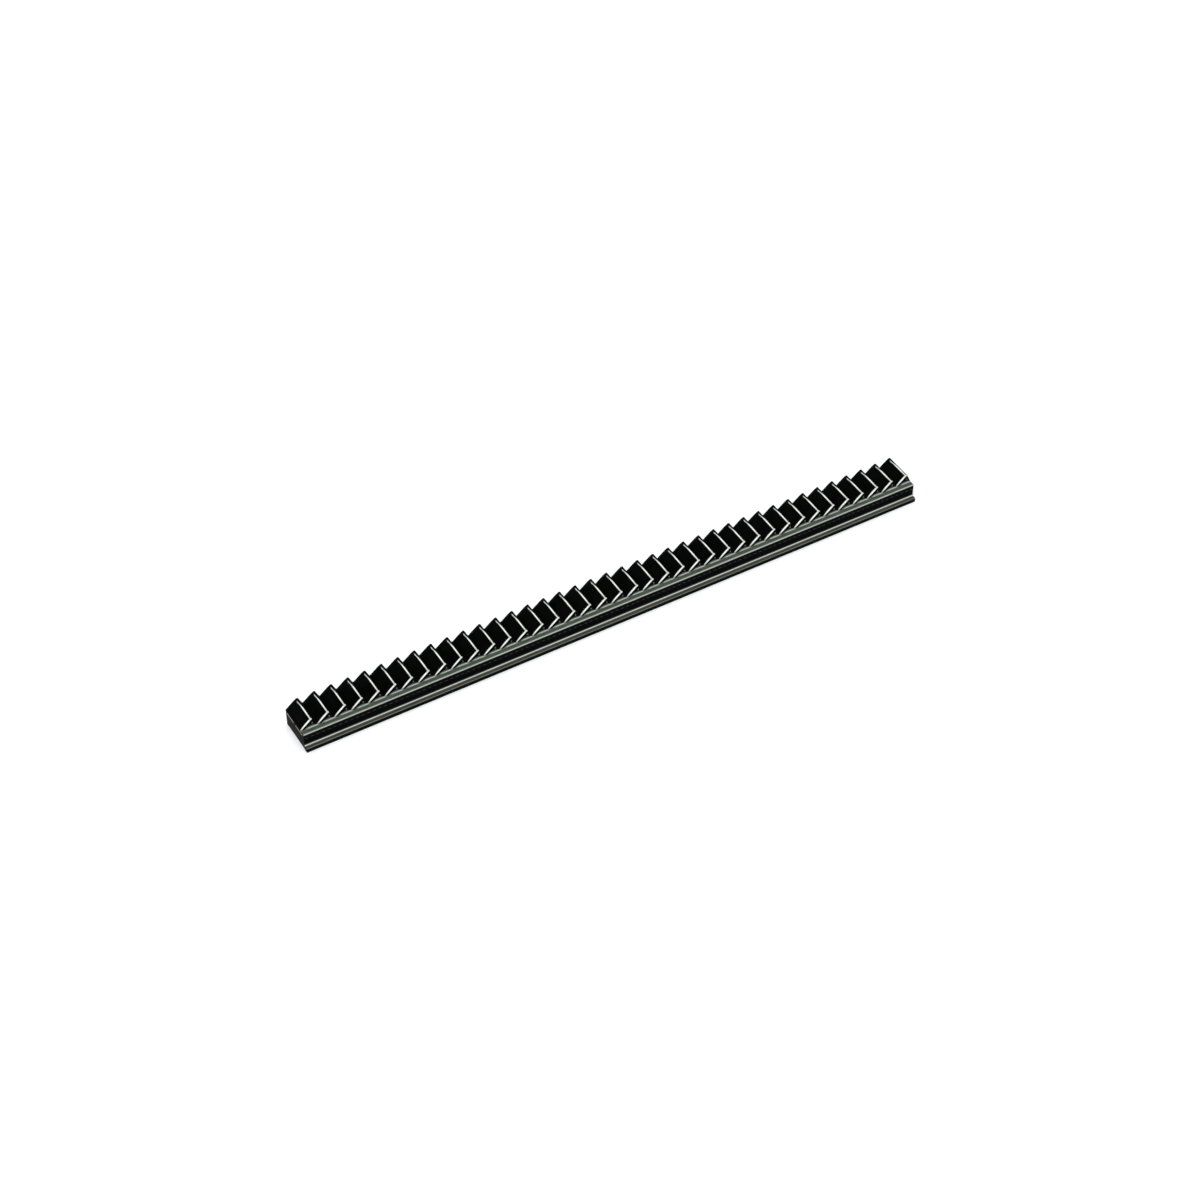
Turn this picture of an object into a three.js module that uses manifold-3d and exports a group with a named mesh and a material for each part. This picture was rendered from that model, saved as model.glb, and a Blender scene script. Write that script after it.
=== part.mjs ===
// Rubber track: a straight, open length of narrow crawler track lying on its
// ground face with its drive lugs up. The rubber of the real track is one
// continuous moulding; here it is divided at every third valley, on the lines
// where it flexes, so that each length between two flex lines is a rigid section.
//
// Frame, millimetres: +X along the track, +Y across it, +Z up. The origin is the
// middle of the ground face, at the middle of the length.
//
// Section of the track, from the ground up, all flush with one another on the +Y
// side and stepped back from one another on the -Y side:
//   base belt   full width, the layer that meets the ground
//   carcass     narrower body standing on the belt, leaving the lower ledge
//   lugs        sawtooth drive lugs across the carcass, leaving the upper ledge
// Each lug has a narrow flat land along its crest. Inside every lug lies one
// steel core bar, with a locating tab at each tip whose end shows on the side of
// the lug. Just under the valleys between the lugs run two plies of steel
// tension cord, from one end of the track to the other.

import * as THREE from "three";
import { mergeVertices } from "three/addons/utils/BufferGeometryUtils.js";
import Module from "manifold-3d";

// ---------------------------------------------------------------- dimensions
const SECTIONS = 13; // rigid sections between flex lines
const LUGS_PER_SECTION = 3;
const LUG_PITCH = 60; // along the track, valley to valley
const SECTION_PITCH = LUG_PITCH * LUGS_PER_SECTION;
const TRACK_LENGTH = SECTION_PITCH * SECTIONS;

const WIDTH = 146.5; // base belt, overall width
const FAR_Y = WIDTH / 2; // the flush side
const BELT_Y = -WIDTH / 2;
const BELT_TOP = 17; // top of the base belt, the lower ledge
const CARCASS_Y = BELT_Y + 16.5; // the lower ledge is 16.5 wide
const VALLEY_Z = 67; // top of the carcass: the upper ledge and the valley floors
const LUG_Y = CARCASS_Y + 21; // the upper ledge is 21 wide
const LUG_MID_Y = (LUG_Y + FAR_Y) / 2;
const CREST_Z = 100.5;
const CREST_X = 39.6; // run of the long flank, up to the left edge of the land
const LAND = 5.4; // width of the land; the steep flank takes the other 15 mm

const END_GAP = 0.6; // each flexing end face stands back this far from its line
const FLEX_Z = 59; // height of the cords, which the track bends about
const RELIEF_DEG = 13.5; // each flexing end face leans back this much above them

const CLEAR = 0.3; // gap round every embedded piece
const PLY_MID_Y = (CARCASS_Y + FAR_Y) / 2; // the two plies lie either side of this
const PLY_Y = [8, 54]; // inner and outer edge of a ply from there
const PLY_T = 5; // thickness, the diameter of its cords

// core bar: cross-section from the crest line (X) and from the valley floor (Z)
const CORE_PROFILE = [[-24, 2], [11, 2], [11, 8.5], [4, 21], [-5, 21]];
const CORE_HALF = 46; // half its length, across the track
const TAB_X = 3.4;
const TAB_Z = 16;
const TAB = 4.4; // side of the square locating tabs
const TAB_PROUD = 0.5; // the tab stands this far out of the lug on the stepped side

// ---------------------------------------------------------------- materials
// Every piece gets its own copy.
const rubber = new THREE.MeshStandardMaterial({ color: 0x0c0d0c, roughness: 0.45, metalness: 0 });
const coreSteel = new THREE.MeshStandardMaterial({ color: 0x8f918c, roughness: 0.5, metalness: 0.9 });
const cordPly = new THREE.MeshStandardMaterial({ color: 0xa39a86, roughness: 0.4, metalness: 0.9 });

// ---------------------------------------------------------------- solids
const wasm = await Module();
wasm.setup();

// A closed three.js geometry as a solid that can be joined and cut.
function solid(geometry) {
  const g = geometry.clone();
  g.deleteAttribute("normal");
  g.deleteAttribute("uv");
  const merged = mergeVertices(g, 1e-4);
  return new wasm.Manifold(
    new wasm.Mesh({
      numProp: 3,
      vertProperties: merged.attributes.position.array,
      triVerts: new Uint32Array(merged.index.array),
    }),
  );
}

// A solid back as a flat-shaded three.js geometry.
function geometryOf(s) {
  const m = s.getMesh();
  const position = new Float32Array(m.numVert * 3);
  for (let i = 0; i < m.numVert; i++)
    position.set(m.vertProperties.subarray(i * m.numProp, i * m.numProp + 3), i * 3);
  const g = new THREE.BufferGeometry()
    .setAttribute("position", new THREE.BufferAttribute(position, 3))
    .setIndex(new THREE.BufferAttribute(m.triVerts.slice(), 1));
  const flat = g.toNonIndexed();
  flat.computeVertexNormals();
  return flat;
}

function shapeOf(points) {
  const s = new THREE.Shape();
  points.forEach(([a, b], i) => (i ? s.lineTo(a, b) : s.moveTo(a, b)));
  s.closePath();
  return s;
}

// A side profile in X and Z, carried across the track from y0 to y1.
function acrossTrack(points, y0, y1) {
  const g = new THREE.ExtrudeGeometry(shapeOf(points), { depth: y1 - y0, bevelEnabled: false });
  g.rotateX(Math.PI / 2);
  g.translate(0, y1, 0);
  return g;
}

// A cross-section in Y and Z, carried along the track to +-halfLength in X.
const ALONG = new THREE.Matrix4().makeBasis(
  new THREE.Vector3(0, 1, 0),
  new THREE.Vector3(0, 0, 1),
  new THREE.Vector3(1, 0, 0),
);
function alongTrack(points, halfLength) {
  const g = new THREE.ExtrudeGeometry(shapeOf(points), { depth: 2 * halfLength, bevelEnabled: false });
  g.applyMatrix4(ALONG);
  g.translate(-halfLength, 0, 0);
  return g;
}

function block(x0, x1, y0, y1, z0, z1) {
  const g = new THREE.BoxGeometry(x1 - x0, y1 - y0, z1 - z0);
  g.translate((x0 + x1) / 2, (y0 + y1) / 2, (z0 + z1) / 2);
  return g;
}

// ---------------------------------------------------------------- core bar
// The bar and its two locating tabs. grow makes the pocket that holds it, and
// reach is how far the tabs go past the sides of the lug, on each side.
function offset(points, d) {
  return points.map((p, i) => {
    const a = points[(i + points.length - 1) % points.length];
    const b = points[(i + 1) % points.length];
    const e = new THREE.Vector2(p[0] - a[0], p[1] - a[1]).normalize();
    const f = new THREE.Vector2(b[0] - p[0], b[1] - p[1]).normalize();
    const n = new THREE.Vector2(e.y, -e.x);
    const m = new THREE.Vector2(f.y, -f.x);
    const k = d / (1 + n.dot(m));
    return [p[0] + (n.x + m.x) * k, p[1] + (n.y + m.y) * k];
  });
}
function coreBar(grow, reach) {
  const place = ([x, z]) => [x, z + VALLEY_Z];
  const length = CORE_HALF + grow;
  const bar = solid(acrossTrack(offset(CORE_PROFILE, grow).map(place), LUG_MID_Y - length, LUG_MID_Y + length));
  const half = TAB / 2 + grow;
  const z = VALLEY_Z + TAB_Z;
  const tabs = solid(block(TAB_X - half, TAB_X + half, LUG_Y - reach[0], FAR_Y + reach[1], z - half, z + half));
  return bar.add(tabs);
}
const coreSolid = coreBar(0, [TAB_PROUD, 0]);
const corePocket = coreBar(CLEAR, [5, 5]);

// A cord ply on one side of the carcass's middle; grow makes the slot that holds it.
function cordPlyBox(side, halfLength, grow) {
  const y = [PLY_Y[0] - grow, PLY_Y[1] + grow].map((v) => PLY_MID_Y + side * v).sort((a, b) => a - b);
  return block(-halfLength, halfLength, y[0], y[1], FLEX_Z - PLY_T / 2 - grow, FLEX_Z + PLY_T / 2 + grow);
}

// left edges of the lands of a section's lugs, from the middle of the section
const CRESTS = [];
for (let i = 0; i < LUGS_PER_SECTION; i++) CRESTS.push(-SECTION_PITCH / 2 + i * LUG_PITCH + CREST_X);

// ---------------------------------------------------------------- rubber section
// flexLeft and flexRight say whether a neighbour follows on that side; a side
// without one is a plain cut end.
function rubberSection(flexLeft, flexRight) {
  const half = SECTION_PITCH / 2;
  const stepped = [
    [BELT_Y, 0],
    [FAR_Y, 0],
    [FAR_Y, VALLEY_Z],
    [CARCASS_Y, VALLEY_Z],
    [CARCASS_Y, BELT_TOP],
    [BELT_Y, BELT_TOP],
  ];
  const teeth = [[-half, VALLEY_Z - 20], [half, VALLEY_Z - 20], [half, VALLEY_Z]];
  for (let i = LUGS_PER_SECTION - 1; i >= 0; i--) {
    teeth.push([CRESTS[i] + LAND, CREST_Z]);
    teeth.push([CRESTS[i], CREST_Z]);
    teeth.push([CRESTS[i] - CREST_X, VALLEY_Z]);
  }
  let section = solid(alongTrack(stepped, half)).add(solid(acrossTrack(teeth, LUG_Y, FAR_Y)));

  // a flexing end: set back below the cords, leaning back above them
  const top = CREST_Z + 10;
  const lean = (top - FLEX_Z) * Math.tan((RELIEF_DEG * Math.PI) / 180);
  const right = [
    [half - END_GAP, -10],
    [half + 10, -10],
    [half + 10, top],
    [half - END_GAP - lean, top],
    [half - END_GAP, FLEX_Z],
  ];
  if (flexRight) section = section.subtract(solid(acrossTrack(right, -WIDTH, WIDTH)));
  if (flexLeft) {
    const left = right.map(([x, z]) => [-x, z]).reverse();
    section = section.subtract(solid(acrossTrack(left, -WIDTH, WIDTH)));
  }

  for (const x of CRESTS) section = section.subtract(corePocket.translate([x, 0, 0]));
  for (const side of [-1, 1]) section = section.subtract(solid(cordPlyBox(side, half + 5, CLEAR)));
  return geometryOf(section);
}

const firstGeometry = rubberSection(false, true);
const middleGeometry = rubberSection(true, true);
const lastGeometry = rubberSection(true, false);
const coreGeometry = geometryOf(coreSolid);

// ---------------------------------------------------------------- assembly
const track = new THREE.Group();
track.name = "rubber_track";

const two = (n) => String(n).padStart(2, "0");
function place(name, geometry, material, x, y, z) {
  const mesh = new THREE.Mesh(geometry, material.clone());
  mesh.name = name;
  mesh.position.set(x, y, z);
  track.add(mesh);
}

for (let k = 1; k <= SECTIONS; k++) {
  const x = (k - (SECTIONS + 1) / 2) * SECTION_PITCH;
  const geometry = k === 1 ? firstGeometry : k === SECTIONS ? lastGeometry : middleGeometry;
  place(`rubber_section_${two(k)}`, geometry, rubber, x, 0, 0);
}
for (let k = 1; k <= SECTIONS; k++) {
  const x = (k - (SECTIONS + 1) / 2) * SECTION_PITCH;
  CRESTS.forEach((crest, i) =>
    place(`core_bar_${two((k - 1) * LUGS_PER_SECTION + i + 1)}`, coreGeometry, coreSteel, x + crest, 0, 0),
  );
}
place("steel_cord_ply_right", cordPlyBox(-1, TRACK_LENGTH / 2, 0), cordPly, 0, 0, 0);
place("steel_cord_ply_left", cordPlyBox(1, TRACK_LENGTH / 2, 0), cordPly, 0, 0, 0);

export default track;
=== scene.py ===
import math

import bpy
import numpy as np
from mathutils import Matrix, Vector


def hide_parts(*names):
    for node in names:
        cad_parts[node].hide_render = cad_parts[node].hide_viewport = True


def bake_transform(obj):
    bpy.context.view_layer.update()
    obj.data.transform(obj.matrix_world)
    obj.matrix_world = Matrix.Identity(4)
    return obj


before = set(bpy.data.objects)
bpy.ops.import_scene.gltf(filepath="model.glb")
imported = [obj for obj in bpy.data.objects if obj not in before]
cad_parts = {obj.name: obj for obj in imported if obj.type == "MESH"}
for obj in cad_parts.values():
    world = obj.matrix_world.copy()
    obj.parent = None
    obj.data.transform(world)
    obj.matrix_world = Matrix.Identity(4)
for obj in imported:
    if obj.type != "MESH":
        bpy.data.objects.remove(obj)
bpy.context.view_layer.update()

# ------------------------------------------------------------------ sizes, mm
# The section boxes give the sizes of the whole; the rest is the lug profile.
MM = 0.001
PITCH = 60.0
SECTIONS = 13
SECTION = 3 * PITCH
HALF = SECTIONS * SECTION / 2
# Across the track, the section is drawn in w, which grows towards the stepped side
# from the middle of the lugs, so that y = MID_Y - w.
MID_Y = 16.75
FAR_W = 56.2                  # the flush side, 0.3 inside the ends of the tabs
BELT_Y, BELT_Z = 90.0, 17.0
RIB_Y, ROOT_Z = 73.5, 67.0
LUG_Y, LUG_H = 52.5, 33.5
LAND_A, LAND_B = 39.6, 45.0   # the flat top of a lug, from its left root
CORD_Z, CORD_R = 59.0, 2.35
PLY_MID_Y = 8.25
CORD_Y = [PLY_MID_Y + s * (10.6 + 5.83 * i) for i in range(8) for s in (-1, 1)]


def section_centre(k):
    return (k - 7) * SECTION


# ------------------------------------------------------------------ camera
def camera():
    yaw, pitch = math.radians(30.31), math.radians(44.39)
    right = Vector((math.cos(yaw), -math.sin(yaw), 0))
    forward = Vector((math.sin(yaw) * math.cos(pitch), math.cos(yaw) * math.cos(pitch), -math.sin(pitch)))
    up = right.cross(forward)
    p = 0.06
    centre = -(right * 1.6614 + up * 0.9317 + forward * 155.7887) * p + Vector((0.0726, MID_Y * MM, 0.067))
    data = bpy.data.cameras.new("camera")
    data.sensor_width = 36
    data.lens = 2807 / 1200 * 36
    data.clip_end = 200
    cam = bpy.data.objects.new("camera", data)
    m = Matrix((right, up, -forward)).transposed().to_4x4()
    m.translation = centre
    cam.matrix_world = m
    bpy.context.scene.collection.objects.link(cam)
    bpy.context.scene.camera = cam


camera()


# ------------------------------------------------------------------ profile
def corner(u, u0, half, s1, s2):
    """What rounding the corner at u0, where the slope goes from s1 to s2, adds to the line s1 carried on."""
    a = np.clip(u - (u0 - half), 0, 2 * half)
    return (s2 - s1) * a * a / (4 * half) + (s2 - s1) * np.maximum(u - (u0 + half), 0)


S_LONG = LUG_H / LAND_A
S_LAND = -0.06
S_STEEP = -(LUG_H + S_LAND * (LAND_B - LAND_A)) / (PITCH - LAND_B)
ROOT_R, CREST_R = 2.2, 1.1


def lug_height(u):
    """Height of the lug surface over its root, u from 0 to PITCH, rounded at root and crest."""
    h = S_LONG * u
    h = h + corner(u, LAND_A, CREST_R, S_LONG, S_LAND) + corner(u, LAND_B, CREST_R, S_LAND, S_STEEP)
    d = (S_LONG - S_STEEP) / (4 * ROOT_R)
    h = h + d * np.maximum(ROOT_R - u, 0) ** 2 + d * np.maximum(ROOT_R - (PITCH - u), 0) ** 2
    return h


STATIONS = [0, 0.7, 1.4, 2.2, 3.4, 8, 14, 20, 26, 31, 34, 35.3, 36.0, 36.6, 37.3, 38.0, 38.5, 39.0, 39.6, 40.2, 40.9, 41.5,
            42.2, 43.4, 44.0, 44.5, 45.0, 45.5, 46.0, 47.0, 50, 54, 56.8, 57.8, 58.6, 59.3]


def arc(cy, cz, r, a0, a1, n):
    return [(cy + r * math.cos(math.radians(a0 + (a1 - a0) * i / n)), cz + r * math.sin(math.radians(a0 + (a1 - a0) * i / n))) for i in range(n + 1)]


def smooth(x, a, b):
    t = min(1, max(0, (x - a) / (b - a)))
    return t * t * (3 - 2 * t)


def bump(x, centre, half, soft):
    """1 within half of centre, falling to 0 over soft."""
    return 1 - smooth(abs(x - centre), half, half + soft)


def loop(u, h):
    """The whole closed loop at one station, from the flush side along the underside, up the
    steps, over the lug and down the flush side: a list of (w, z, painted sheen of the ledge top, painted sheen of
    the belt top, painted highlight of edges and corners)."""
    out = []
    groove = 2.6 * bump(min(u, PITCH - u), 0, 3.2, 2.4)

    def add(points, ledge_sheen=0.0, belt_sheen=0.0, edge_highlight=0.0):
        for y, z in points:
            out.append((y, z, ledge_sheen, belt_sheen, edge_highlight))

    add([(-51, 0), (-46, 0), (-42, groove), (-31, groove), (-20, groove), (0, groove), (20, groove), (42, groove), (60, groove),
         (68, groove), (72, groove), (76, 0.0)])
    add([(80, 0), (86, 0)])
    add(arc(BELT_Y - 2.2, 2.2, 2.2, -90, 0, 4))
    add([(BELT_Y, 6), (BELT_Y, 12)])
    r = 1.8
    # the belt's rounded outer edge starts the painted sheen of the belt top, with a faint painted highlight
    for i, (y, z) in enumerate(arc(BELT_Y - r, BELT_Z - r, r, 0, 90, 5)):
        out.append((y, z, 0.0, min(1, i / 2), 0.11 * min(1, i / 2)))
    out.append((BELT_Y - 3.0, BELT_Z, 0, 1, 0.04))
    add([(BELT_Y - 4.6, BELT_Z)], belt_sheen=1)
    add([(83, BELT_Z), (81, BELT_Z)], belt_sheen=1)
    out.append((78.3, BELT_Z, 0, 1, 0.02))
    # the belt's inner fillet carries a painted highlight, and the painted sheen of the belt top fades out up it
    r = 3.8
    for i, (y, z) in enumerate(reversed(arc(RIB_Y + r, BELT_Z + r, r, 180, 270, 6))):
        out.append((y, z, 0, (1, 1, 0.95, 0.7, 0.25, 0.05, 0)[i], (0.0, 0.16, 0.56, 0.80, 0.78, 0.48, 0.08)[i]))
    add([(RIB_Y, 26), (RIB_Y, 36), (RIB_Y, 44), (RIB_Y, 48.4)])
    add([(RIB_Y + 0.35, 48.9), (RIB_Y + 0.45, 49.5), (RIB_Y + 0.35, 50.1)])
    add([(RIB_Y, 50.6), (RIB_Y, 56), (RIB_Y, 61), (RIB_Y, 62.8)])
    # a painted highlight line along the rib's rounded top edge, fading into the painted sheen of the ledge top
    out.append((RIB_Y, 63.9, 0, 0, 0.22))
    r = 2.0
    for i, (y, z) in enumerate(arc(RIB_Y - r, ROOT_Z - r, r, 0, 90, 5)):
        out.append((y, z, (0, 0.2, 0.7, 1, 1, 1)[i], 0, (0.50, 0.54, 0.50, 0.43, 0.35, 0.28)[i]))
    out.append((70.5, ROOT_Z, 1, 0, 0.12))
    out.append((69.3, ROOT_Z, 1, 0, 0.02))
    # the ledge top carries the painted sheen of a face lit from above
    add([(67, ROOT_Z), (63, ROOT_Z), (59, ROOT_Z)], ledge_sheen=1)
    # the corner below the lug side carries a painted highlight, lightest under the crest and on to the next root
    inner = 0.50 * smooth(u, 14, 30) + 0.32 * (1 - smooth(u, 1, 6))
    out.append((57.0, ROOT_Z, 1, 0, 0.03))
    rf = min(2.4, 0.42 * h)
    re = min(1.5, 0.34 * h)
    out.append((55.6, ROOT_Z, 1, 0, inner * 0.4))
    for i, (y, z) in enumerate(reversed(arc(LUG_Y + rf, ROOT_Z + rf, rf, 180, 270, 4))):
        out.append((y, z, (1, 0.9, 0.5, 0.1, 0)[i], 0, inner * (0.9, 1.1, 1.15, 1.0, 0.4)[i]))
    # the wall of the lug, then its rounded edge
    top = ROOT_Z + h
    w0, w1 = ROOT_Z + rf, top - re
    edge = flank_edge_highlight(u)
    for f in (0.3, 0.6):
        out.append((LUG_Y, w0 + (w1 - w0) * f, 0, 0, 0))
    band = min(0.9, 0.3 * (w1 - w0))
    out.append((LUG_Y, w1 - 1.5 * band, 0, 0, 0))
    # from here over the near rounded edge and onto the flank, a painted highlight line along the lug's edge
    out.append((LUG_Y, w1 - 0.5 * band, 0, 0, 0.9 * edge * (1 - 0.7 * smooth(u, 37, 40))))
    for y, z in arc(LUG_Y - re, top - re, re, 0, 90, 5):
        out.append((y, z, 0, 0, edge))
    wide = 1.6 + 1.6 * smooth(u, 2, 20)
    for y, e in ((LUG_Y - re - wide, 0.95), (LUG_Y - re - wide - 1.1, 0)):
        out.append((y, top, 0, 0, max(edge * e, crest_highlight(u, y))))
    # along the top of the lug, the painted highlight line of the crest
    for y in (44, 32, 20, 8, -4, -14, -22, -29, -34, -37, -40, -43, -46, -49):
        out.append((y, top, 0, 0, crest_highlight(u, y)))
    rb = min(1.0 + 2.4 * smooth(u, 28, 39) * (1 - smooth(u, 46, 54)), 0.34 * h)
    # the far rounded edge gets only a faint painted highlight, so the near side reads lit and the far side dark
    for y, z in arc(-FAR_W + rb, top - rb, rb, 90, 180, 4):
        out.append((y, z, 0, 0, 0.015))
    for f in (0.85, 0.4):
        out.append((-FAR_W, ROOT_Z - 1 + (h - rb) * f, 0, 0, 0))
    add([(-FAR_W, z) for z in (65, 58, 50.6)])
    add([(-FAR_W - 0.3, 50.1), (-FAR_W - 0.4, 49.5), (-FAR_W - 0.3, 48.9)])
    add([(-FAR_W, z) for z in (48.4, 36, 24, 12, 5)])
    add(arc(-FAR_W + 2.2, 2.2, 2.2, 180, 270, 4))
    return out


def flank_edge_highlight(u):
    """Level of the painted highlight along the long flank's side edge and the end of the land."""
    return smooth(u, -2, 5) * (0.76 + 0.24 * smooth(u, 4, 18)) * (1 - 0.22 * smooth(u, 30, 36)) * (1 - smooth(u, 41.4, 43.8))


def crest_highlight(u, w):
    """Level of the painted highlight line along the crest, narrower and dimmer towards the flush side."""
    left = 37.5 - 1.4 * (1 - smooth(w, -40, -24))
    right = 40.6 - 3.0 * (1 - smooth(w, -38, 0))
    level = smooth(w, -45.5, -36) * (0.88 + 0.12 * smooth(w, -36, -4)) * (1 - 0.36 * smooth(w, 18, 42))
    return smooth(u, left - 0.9, left + 0.3) * (1 - smooth(u, right - 0.3, right + 0.9)) * level


# ------------------------------------------------------------------ skin
def skin_stations(x0, x1):
    """Stations from x0 to x1, as pairs of x and the place u within its pitch."""
    xs = {round(x0, 4), round(x1, 4)}
    for n in range(39):
        root = -HALF + n * PITCH
        for u in STATIONS:
            if x0 < root + u < x1:
                xs.add(round(root + u, 4))
    xs = sorted(x for x in xs)
    keep = [xs[0]]
    for x in xs[1:]:
        if x - keep[-1] > 0.12:
            keep.append(x)
        elif x == xs[-1]:
            keep[-1] = x
    return [(x, (x + HALF) % PITCH) for x in keep]


def inset(ring, x, by=0.7):
    """The ring drawn in all round by that much, for the small chamfer at a cut end."""
    q = np.array([(MID_Y - y, z) for _, y, z in ring])
    d = np.roll(q, -1, 0) - np.roll(q, 1, 0)
    d /= np.linalg.norm(d, axis=1)[:, None]
    q = q + by * np.stack([-d[:, 1], d[:, 0]], 1)
    return [(x, MID_Y - w, z) for w, z in q]


def skin(name, x0, x1, cap0, cap1):
    rows, attrs = [], []
    for x, u in skin_stations(x0, x1):
        if x >= HALF - 1e-6:
            u = PITCH
        h = float(lug_height(np.array(u)))
        ring = loop(u, h)
        rows.append([(x, MID_Y - w, z) for w, z, *_ in ring])
        attrs.append([(d, l, w) for _, _, d, l, w in ring])
    m = len(rows[0])
    clean = [(0, 0, 0)] * m
    if cap0:
        rows[0] = [(x0 + 1.1, y, z) for _, y, z in rows[0]]
        rows.insert(0, inset(rows[0], x0 + 0.4))
        attrs.insert(0, clean)
    if cap1:
        rows[-1] = [(x1 - 1.1, y, z) for _, y, z in rows[-1]]
        rows.append(inset(rows[-1], x1 - 0.4))
        attrs.append(clean)
    n = len(rows)
    co = np.array(rows, float)
    at = np.array(attrs, float)
    verts = co.reshape(-1, 3) * MM
    faces = []
    for i in range(n - 1):
        a, b = i * m, (i + 1) * m
        for j in range(m):
            k = (j + 1) % m
            faces.append((a + j, b + j, b + k, a + k))
    mesh = bpy.data.meshes.new(name)
    first = len(faces)
    faces.append(tuple(range(m)))
    faces.append(tuple(reversed(range((n - 1) * m, n * m))))
    mesh.from_pydata([tuple(v) for v in verts], [], faces)
    mesh.update()
    # three masks on the skin: painted sheen of the ledge tops, painted sheen of the belt top, painted highlight
    # lines
    for name_, k in (("ledge_sheen", 0), ("belt_sheen", 1), ("edge_highlight", 2)):
        a = mesh.attributes.new(name_, "FLOAT", "POINT")
        a.data.foreach_set("value", at.reshape(-1, 3)[:, k].astype(np.float32))
    a = mesh.attributes.new("rest", "FLOAT_VECTOR", "POINT")
    a.data.foreach_set("vector", verts.astype(np.float32).ravel())
    smooth_ = np.ones(len(faces), bool)
    smooth_[first:] = False
    mesh.polygons.foreach_set("use_smooth", smooth_)
    # the rim of each end face is a sharp edge, so that neighbouring skins shade as one
    ends = np.zeros(len(mesh.edges) * 2, int)
    mesh.edges.foreach_get("vertices", ends)
    ring_of = ends.reshape(-1, 2) // m
    rim = (ring_of[:, 0] == ring_of[:, 1]) & ((ring_of[:, 0] == 0) | (ring_of[:, 0] == n - 1))
    mesh.edges.foreach_set("use_edge_sharp", rim)
    o = bpy.data.objects.new(name, mesh)
    bpy.context.scene.collection.objects.link(o)
    return o


def cords(name, x0, x1):
    """The cords of one stretch of track, each with six outer wires that turn round it."""
    verts, faces = [], []
    n_round = 18
    steps = max(2, int(round((x1 - x0) / 15)))
    for cy in CORD_Y:
        base = len(verts)
        for i in range(steps + 1):
            x = x0 + (x1 - x0) * i / steps
            twist = 2 * math.pi * x / 110
            for j in range(n_round):
                t = 2 * math.pi * j / n_round
                r = CORD_R * (0.86 + 0.14 * abs(math.cos(3 * t)))
                a = t + twist
                verts.append((x * MM, (cy + r * math.cos(a)) * MM, (CORD_Z + r * math.sin(a)) * MM))
        for i in range(steps):
            for j in range(n_round):
                k = (j + 1) % n_round
                a, b = base + i * n_round, base + (i + 1) * n_round
                faces.append((a + j, a + k, b + k, b + j))
        faces.append(tuple(base + j for j in reversed(range(n_round))))
        faces.append(tuple(base + steps * n_round + j for j in range(n_round)))
    mesh = bpy.data.meshes.new(name)
    mesh.from_pydata(verts, [], faces)
    mesh.update()
    a = mesh.attributes.new("rest", "FLOAT_VECTOR", "POINT")
    a.data.foreach_set("vector", np.array(verts, np.float32).ravel())
    mesh.polygons.foreach_set("use_smooth", [len(f) == 4 for f in faces])
    o = bpy.data.objects.new(name, mesh)
    bpy.context.scene.collection.objects.link(o)
    return o


# ------------------------------------------------------------------ materials
def material(name):
    m = bpy.data.materials.new(name)
    m.use_nodes = True
    return m, m.node_tree.nodes, m.node_tree.links, m.node_tree.nodes["Principled BSDF"]


def noise(nodes, links, vector, scale, detail=3, rough=0.5):
    n = nodes.new("ShaderNodeTexNoise")
    n.inputs["Scale"].default_value = scale
    n.inputs["Detail"].default_value = detail
    n.inputs["Roughness"].default_value = rough
    links.new(vector, n.inputs["Vector"])
    return n.outputs["Fac"]


def math_node(nodes, links, op, a, b=None, clamp=False):
    n = nodes.new("ShaderNodeMath")
    n.operation = op
    n.use_clamp = clamp
    for i, v in enumerate((a, b)):
        if v is None:
            continue
        if isinstance(v, (int, float)):
            n.inputs[i].default_value = v
        else:
            links.new(v, n.inputs[i])
    return n.outputs[0]


def ranged(nodes, links, v, a, b, c, d):
    n = nodes.new("ShaderNodeMapRange")
    links.new(v, n.inputs["Value"])
    for k, x in zip(("From Min", "From Max", "To Min", "To Max"), (a, b, c, d)):
        n.inputs[k].default_value = x
    return n.outputs["Result"]


def mix(nodes, links, fac, a, b):
    n = nodes.new("ShaderNodeMix")
    n.data_type = "RGBA"
    links.new(fac, n.inputs["Factor"])
    for socket, v in ((n.inputs["A"], a), (n.inputs["B"], b)):
        if isinstance(v, tuple):
            socket.default_value = (*v, 1)
        else:
            links.new(v, socket)
    return n.outputs["Result"]


def attribute(nodes, name, out="Fac"):
    n = nodes.new("ShaderNodeAttribute")
    n.attribute_name = name
    return n.outputs[out]


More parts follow.
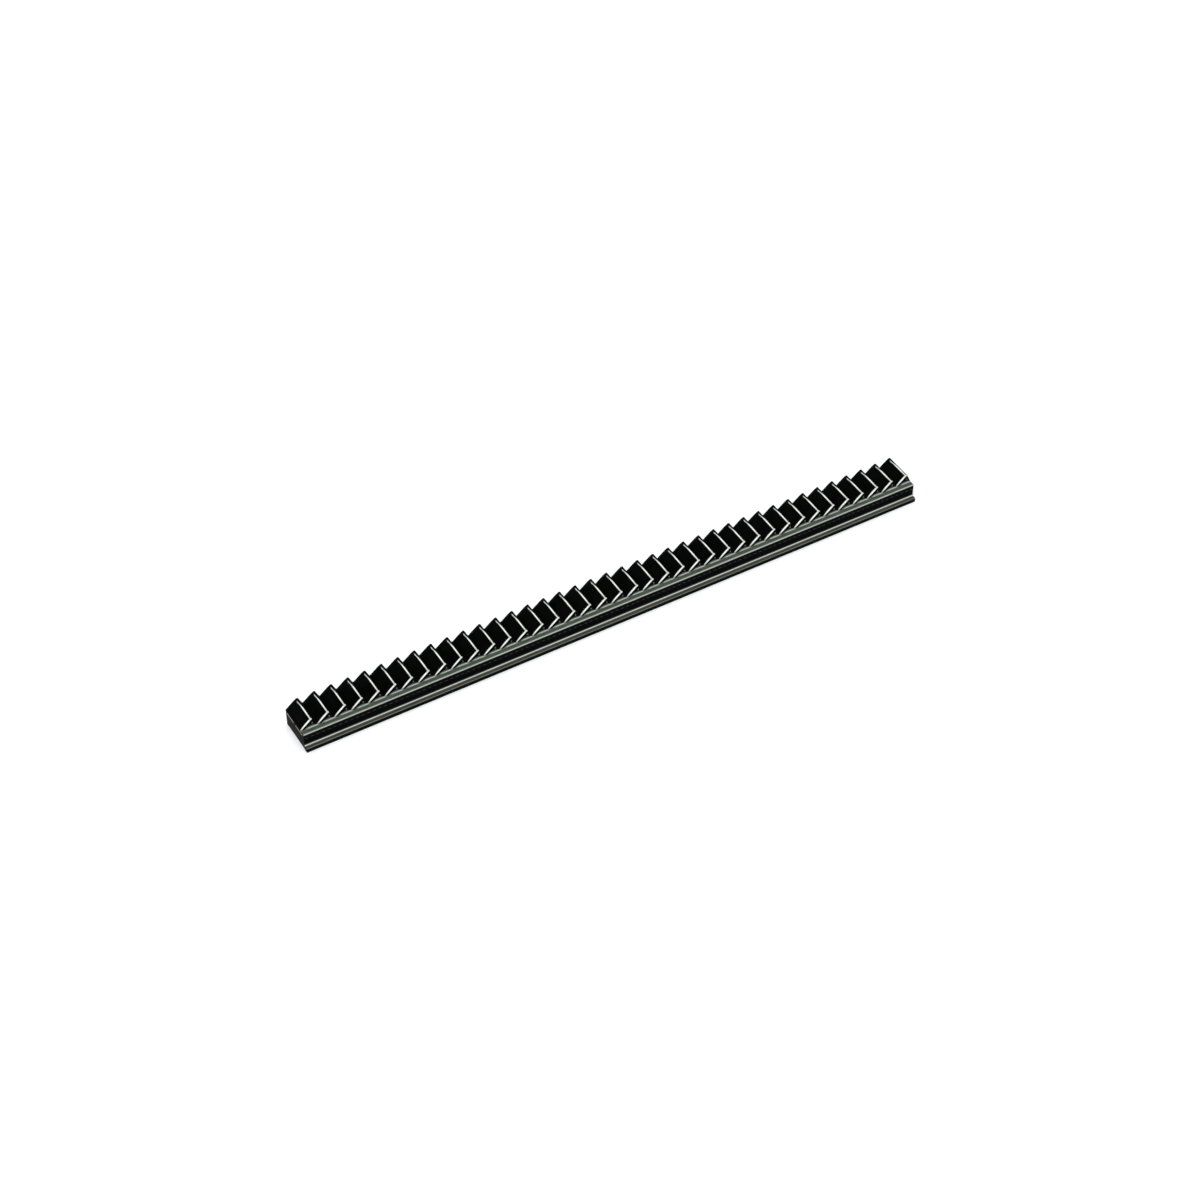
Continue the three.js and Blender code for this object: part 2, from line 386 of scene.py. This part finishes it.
def rubber_material():
    m, nodes, links, bsdf = material("rubber")
    rest = attribute(nodes, "rest", "Vector")
    ledge_sheen, belt_sheen, edge_highlight = (attribute(nodes, n) for n in ("ledge_sheen", "belt_sheen", "edge_highlight"))
    mottle = noise(nodes, links, rest, 28, 4, 0.6)
    grain = noise(nodes, links, rest, 420, 3, 0.55)
    fine = noise(nodes, links, rest, 1400, 2, 0.5)
    streak_map = nodes.new("ShaderNodeMapping")
    streak_map.inputs["Scale"].default_value = (8, 90, 90)
    links.new(rest, streak_map.inputs["Vector"])
    streak = noise(nodes, links, streak_map.outputs["Vector"], 3, 4, 0.6)

    black = mix(nodes, links, ranged(nodes, links, mottle, 0.35, 0.65, 0, 1), (0.0006, 0.0007, 0.0007), (0.0016, 0.0018, 0.0016))
    # the grey-green is a painted sheen for the ledge tops, as if lit from above, streaked along the track
    green = mix(nodes, links, ranged(nodes, links, streak, 0.35, 0.65, 0, 1), (0.048, 0.062, 0.044), (0.086, 0.104, 0.078))
    # the grey-brown is a painted sheen for the belt top, as if lit from above
    brown = mix(nodes, links, ranged(nodes, links, streak, 0.35, 0.65, 0, 1), (0.040, 0.042, 0.030), (0.074, 0.074, 0.055))
    speckle = ranged(nodes, links, grain, 0.30, 0.60, 0.62, 1.0)
    # painted sheen on the ledge tops
    colour = mix(nodes, links, math_node(nodes, links, "MULTIPLY", ledge_sheen, speckle, True), black, green)
    # painted sheen on the belt top
    colour = mix(nodes, links, math_node(nodes, links, "MULTIPLY", belt_sheen, speckle, True), colour, brown)
    grain_factor = ranged(nodes, links, grain, 0.30, 0.62, 0.80, 1.05)
    # the parting line shows as a row of short pale rubs, three to a pitch
    place = nodes.new("ShaderNodeSeparateXYZ")
    links.new(rest, place.inputs[0])
    off = math_node(nodes, links, "ABSOLUTE", math_node(nodes, links, "SUBTRACT", place.outputs["Z"], 0.0495))
    line = ranged(nodes, links, off, 0.0004, 0.0014, 1, 0)
    wave = math_node(nodes, links, "COSINE", math_node(nodes, links, "MULTIPLY", place.outputs["X"], 2 * math.pi / 0.020))
    line = math_node(nodes, links, "MULTIPLY", line, ranged(nodes, links, wave, -0.3, 0.6, 0.008, 0.075))
    # painted highlight lines along edges and corners, together with the real pale rubs of the parting line, mixed
    # in as one pale colour
    highlight_and_rubs = math_node(nodes, links, "MULTIPLY", math_node(nodes, links, "ADD", edge_highlight, line), grain_factor, True)
    colour = mix(nodes, links, highlight_and_rubs, colour, (0.82, 0.87, 0.81))
    links.new(colour, bsdf.inputs["Base Color"])

    rough = ranged(nodes, links, mottle, 0.3, 0.7, 0.46, 0.60)
    rough = math_node(nodes, links, "ADD", rough, ranged(nodes, links, ledge_sheen, 0, 1, 0, 0.25))
    rough = math_node(nodes, links, "ADD", rough, ranged(nodes, links, belt_sheen, 0, 1, 0, 0.25), True)
    links.new(rough, bsdf.inputs["Roughness"])
    bsdf.inputs["Specular IOR Level"].default_value = 0.02

    height = math_node(nodes, links, "ADD", math_node(nodes, links, "MULTIPLY", grain, 0.7), math_node(nodes, links, "MULTIPLY", fine, 0.3))
    b = nodes.new("ShaderNodeBump")
    b.inputs["Strength"].default_value = 0.35
    b.inputs["Distance"].default_value = 0.0006
    links.new(height, b.inputs["Height"])
    links.new(b.outputs["Normal"], bsdf.inputs["Normal"])
    return m


def steel_material(name, dark, light, rough, use_rest, scale):
    m, nodes, links, bsdf = material(name)
    if use_rest:
        where = attribute(nodes, "rest", "Vector")
    else:
        where = nodes.new("ShaderNodeTexCoord").outputs["Object"]
    a = noise(nodes, links, where, scale, 4, 0.6)
    b = noise(nodes, links, where, scale * 5, 2, 0.5)
    links.new(mix(nodes, links, ranged(nodes, links, a, 0.35, 0.65, 0, 1), dark, light), bsdf.inputs["Base Color"])
    links.new(ranged(nodes, links, b, 0.3, 0.7, rough - 0.08, rough + 0.1), bsdf.inputs["Roughness"])
    bsdf.inputs["Metallic"].default_value = 0.85
    bump_ = nodes.new("ShaderNodeBump")
    bump_.inputs["Strength"].default_value = 0.3
    bump_.inputs["Distance"].default_value = 0.0003
    links.new(b, bump_.inputs["Height"])
    links.new(bump_.outputs["Normal"], bsdf.inputs["Normal"])
    return m


rubber = rubber_material()
core = steel_material("core_steel", (0.15, 0.155, 0.145), (0.30, 0.30, 0.28), 0.5, False, 120)
cord = steel_material("cord_steel", (0.30, 0.25, 0.15), (0.52, 0.46, 0.32), 0.34, True, 300)

for node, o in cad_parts.items():
    if node.startswith("core_bar"):
        o.data.materials.clear()
        o.data.materials.append(core)

# ------------------------------------------------------------------ pieces
for k in range(1, SECTIONS):
    x0 = -HALF if k == 1 else section_centre(k)
    x1 = HALF if k == SECTIONS - 1 else section_centre(k + 1)
    s = skin("rubber_skin_%02d_%02d" % (k, k + 1), x0, x1, k == 1, k == SECTIONS - 1)
    s.data.materials.append(rubber)
    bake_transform(s)
    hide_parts("rubber_section_%02d" % k, "rubber_section_%02d" % (k + 1))
    c = cords("steel_cords_%02d_%02d" % (k, k + 1), x0, x1)
    c.data.materials.append(cord)
    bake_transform(c)
    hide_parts("steel_cord_ply_left", "steel_cord_ply_right")


# ------------------------------------------------------------------ stage
def floor():
    n = 40
    size = 30.0
    verts = [((i / n - 0.5) * size, (j / n - 0.5) * size, -0.0004) for j in range(n + 1) for i in range(n + 1)]
    faces = [(j * (n + 1) + i, j * (n + 1) + i + 1, (j + 1) * (n + 1) + i + 1, (j + 1) * (n + 1) + i) for j in range(n) for i in range(n)]
    mesh = bpy.data.meshes.new("floor")
    mesh.from_pydata(verts, [], faces)
    m, nodes, links, bsdf = material("floor")
    where = nodes.new("ShaderNodeTexCoord").outputs["Object"]
    v = noise(nodes, links, where, 1.5, 3, 0.5)
    links.new(mix(nodes, links, ranged(nodes, links, v, 0.3, 0.7, 0, 1), (0.925, 0.93, 0.935), (0.94, 0.945, 0.95)), bsdf.inputs["Base Color"])
    bsdf.inputs["Roughness"].default_value = 0.95
    bsdf.inputs["Specular IOR Level"].default_value = 0.05
    mesh.materials.append(m)
    o = bpy.data.objects.new("floor", mesh)
    bpy.context.scene.collection.objects.link(o)


def sun(name, direction, strength, angle):
    """A soft lamp far away in that direction from the object."""
    data = bpy.data.lights.new(name, "SUN")
    data.energy = strength
    data.angle = math.radians(angle)
    o = bpy.data.objects.new(name, data)
    d = Vector(direction).normalized()
    o.rotation_mode = "QUATERNION"
    o.rotation_quaternion = d.to_track_quat("Z", "Y")
    o.location = d * 5
    bpy.context.scene.collection.objects.link(o)


floor()
sun("key", (0.25, 0.43, 0.87), 0.7, 60)
sun("front", (-0.42, -0.52, 0.78), 1.5, 40)
sun("top", (-0.10, -0.1, 0.95), 1.7, 90)

world = bpy.data.worlds.new("world")
bpy.context.scene.world = world
world.use_nodes = True
nodes, links = world.node_tree.nodes, world.node_tree.links
nodes["Background"].inputs["Color"].default_value = (0.9, 0.95, 1.0, 1)
nodes["Background"].inputs["Strength"].default_value = 0.22
# past the edge of the floor a plain pale backdrop shows, which lights nothing
backdrop = nodes.new("ShaderNodeBackground")
backdrop.inputs["Color"].default_value = (0.86, 0.87, 0.88, 1)
either = nodes.new("ShaderNodeMixShader")
links.new(nodes.new("ShaderNodeLightPath").outputs["Is Camera Ray"], either.inputs[0])
links.new(nodes["Background"].outputs[0], either.inputs[1])
links.new(backdrop.outputs[0], either.inputs[2])
links.new(either.outputs[0], nodes["World Output"].inputs["Surface"])
bpy.context.scene.view_settings.view_transform = "Standard"
